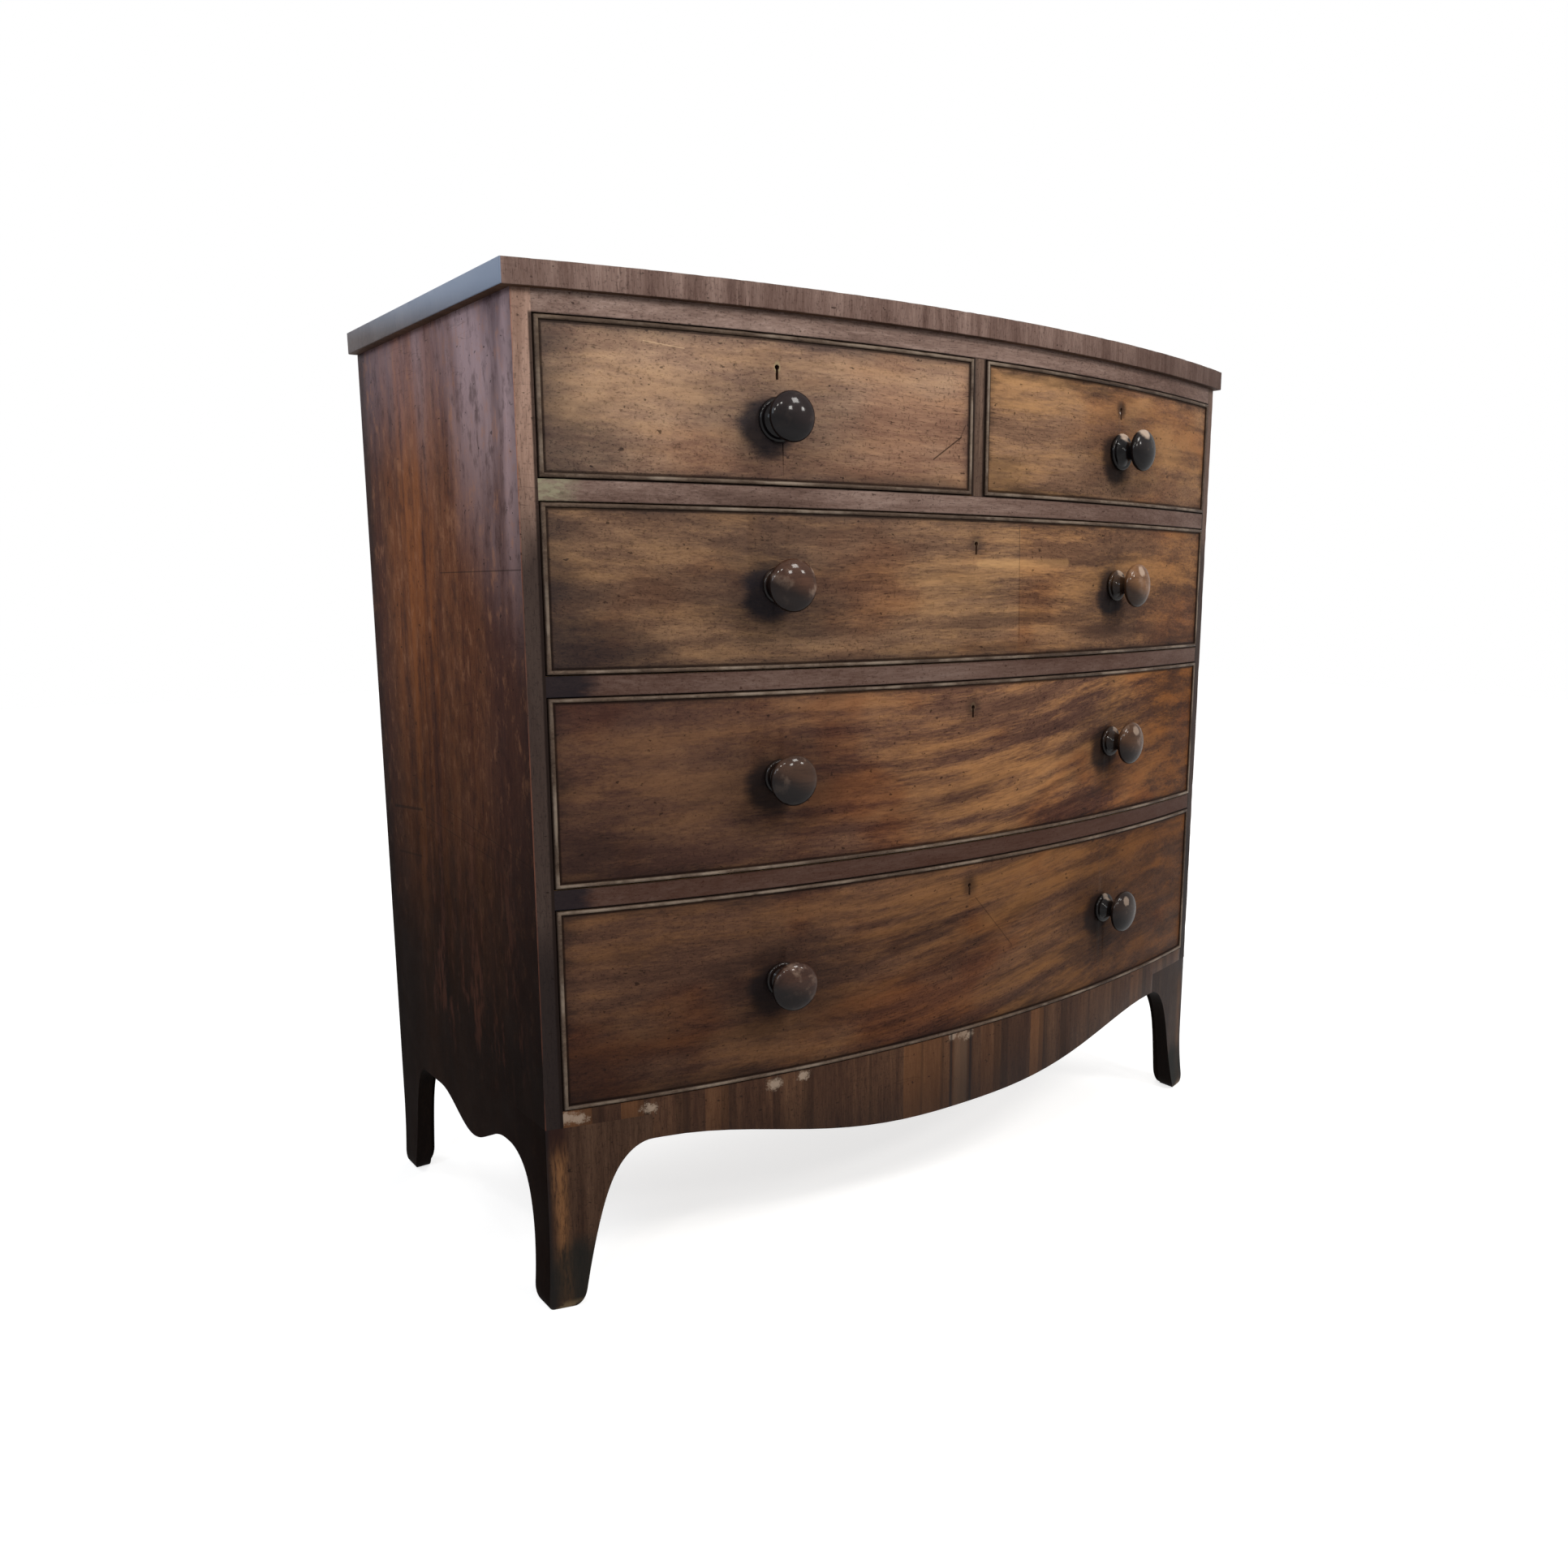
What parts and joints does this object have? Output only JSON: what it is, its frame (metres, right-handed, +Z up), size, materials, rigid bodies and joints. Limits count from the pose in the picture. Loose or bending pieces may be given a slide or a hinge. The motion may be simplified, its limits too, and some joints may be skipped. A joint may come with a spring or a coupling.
{
  "type": "bow front chest of drawers",
  "caption": "Bow front chest of graduated drawers with cockbead edges, turned knobs, a thin top, a shaped apron and splayed bracket feet.",
  "frame": {"origin": "on the floor, under the middle of the chest's overall box", "axes": "+X to the chest's left-to-right as seen from the front, -Y out of the bowed front, +Z up"},
  "size_m": [1.062, 0.5462, 1.048],
  "materials": {
    "front_veneer": "old polished mahogany veneer, satin, darker at the edges and round the knobs",
    "carcass_veneer": "old polished mahogany, satin, with orange streaks",
    "cockbead": "worn grey-brown wood, satin",
    "knob_wood": "dark turned mahogany, glossy",
    "lining_wood": "plain secondary wood, dry and unpolished",
    "lock_iron": "dark worn iron"
  },
  "bodies": {
    "carcass": {"top_board": "carcass_veneer", "left_side": "carcass_veneer", "right_side": "carcass_veneer", "back_board": "lining_wood", "top_rail": "carcass_veneer", "upper_divider": "carcass_veneer", "middle_divider": "carcass_veneer", "lower_divider": "carcass_veneer", "bottom_board": "lining_wood", "muntin": "carcass_veneer", "front_apron": "front_veneer", "left_apron": "carcass_veneer", "right_apron": "carcass_veneer", "left_front_foot": "carcass_veneer", "right_front_foot": "carcass_veneer", "left_rear_foot": "carcass_veneer", "right_rear_foot": "carcass_veneer"},
    "upper_left_drawer": {"upper_left_drawer_front": "front_veneer", "upper_left_drawer_cockbead": "cockbead", "upper_left_drawer_left_side": "lining_wood", "upper_left_drawer_right_side": "lining_wood", "upper_left_drawer_back": "lining_wood", "upper_left_drawer_bottom": "lining_wood", "upper_left_drawer_knob": "knob_wood"},
    "upper_right_drawer": {"upper_right_drawer_front": "front_veneer", "upper_right_drawer_cockbead": "cockbead", "upper_right_drawer_left_side": "lining_wood", "upper_right_drawer_right_side": "lining_wood", "upper_right_drawer_back": "lining_wood", "upper_right_drawer_bottom": "lining_wood", "upper_right_drawer_knob": "knob_wood"},
    "second_drawer": {"second_drawer_front": "front_veneer", "second_drawer_cockbead": "cockbead", "second_drawer_left_side": "lining_wood", "second_drawer_right_side": "lining_wood", "second_drawer_back": "lining_wood", "second_drawer_bottom": "lining_wood", "second_drawer_left_knob": "knob_wood", "second_drawer_right_knob": "knob_wood"},
    "third_drawer": {"third_drawer_front": "front_veneer", "third_drawer_cockbead": "cockbead", "third_drawer_left_side": "lining_wood", "third_drawer_right_side": "lining_wood", "third_drawer_back": "lining_wood", "third_drawer_bottom": "lining_wood", "third_drawer_left_knob": "knob_wood", "third_drawer_right_knob": "knob_wood"},
    "bottom_drawer": {"bottom_drawer_front": "front_veneer", "bottom_drawer_cockbead": "cockbead", "bottom_drawer_left_side": "lining_wood", "bottom_drawer_right_side": "lining_wood", "bottom_drawer_back": "lining_wood", "bottom_drawer_bottom": "lining_wood", "bottom_drawer_left_knob": "knob_wood", "bottom_drawer_right_knob": "knob_wood"},
    "upper_left_lock": {"upper_left_drawer_lock_bolt": "lock_iron"},
    "upper_right_lock": {"upper_right_drawer_lock_bolt": "lock_iron"},
    "second_lock": {"second_drawer_lock_bolt": "lock_iron"},
    "third_lock": {"third_drawer_lock_bolt": "lock_iron"},
    "bottom_lock": {"bottom_drawer_lock_bolt": "lock_iron"}
  },
  "joints": [
    {"name": "upper_left_drawer_slide", "type": "slide", "parent": "carcass", "child": "upper_left_drawer", "axis": [0, -1, 0], "range_m": [0, 0.33]},
    {"name": "upper_right_drawer_slide", "type": "slide", "parent": "carcass", "child": "upper_right_drawer", "axis": [0, -1, 0], "range_m": [0, 0.33]},
    {"name": "second_drawer_slide", "type": "slide", "parent": "carcass", "child": "second_drawer", "axis": [0, -1, 0], "range_m": [0, 0.33]},
    {"name": "third_drawer_slide", "type": "slide", "parent": "carcass", "child": "third_drawer", "axis": [0, -1, 0], "range_m": [0, 0.33]},
    {"name": "bottom_drawer_slide", "type": "slide", "parent": "carcass", "child": "bottom_drawer", "axis": [0, -1, 0], "range_m": [0, 0.33]},
    {"name": "upper_left_lock_slide", "type": "slide", "parent": "upper_left_drawer", "child": "upper_left_lock", "axis": [0, 0, 1], "range_m": [0, 0.009]},
    {"name": "upper_right_lock_slide", "type": "slide", "parent": "upper_right_drawer", "child": "upper_right_lock", "axis": [0, 0, 1], "range_m": [0, 0.009]},
    {"name": "second_lock_slide", "type": "slide", "parent": "second_drawer", "child": "second_lock", "axis": [0, 0, 1], "range_m": [0, 0.009]},
    {"name": "third_lock_slide", "type": "slide", "parent": "third_drawer", "child": "third_lock", "axis": [0, 0, 1], "range_m": [0, 0.009]},
    {"name": "bottom_lock_slide", "type": "slide", "parent": "bottom_drawer", "child": "bottom_lock", "axis": [0, 0, 1], "range_m": [0, 0.009]}
  ]
}
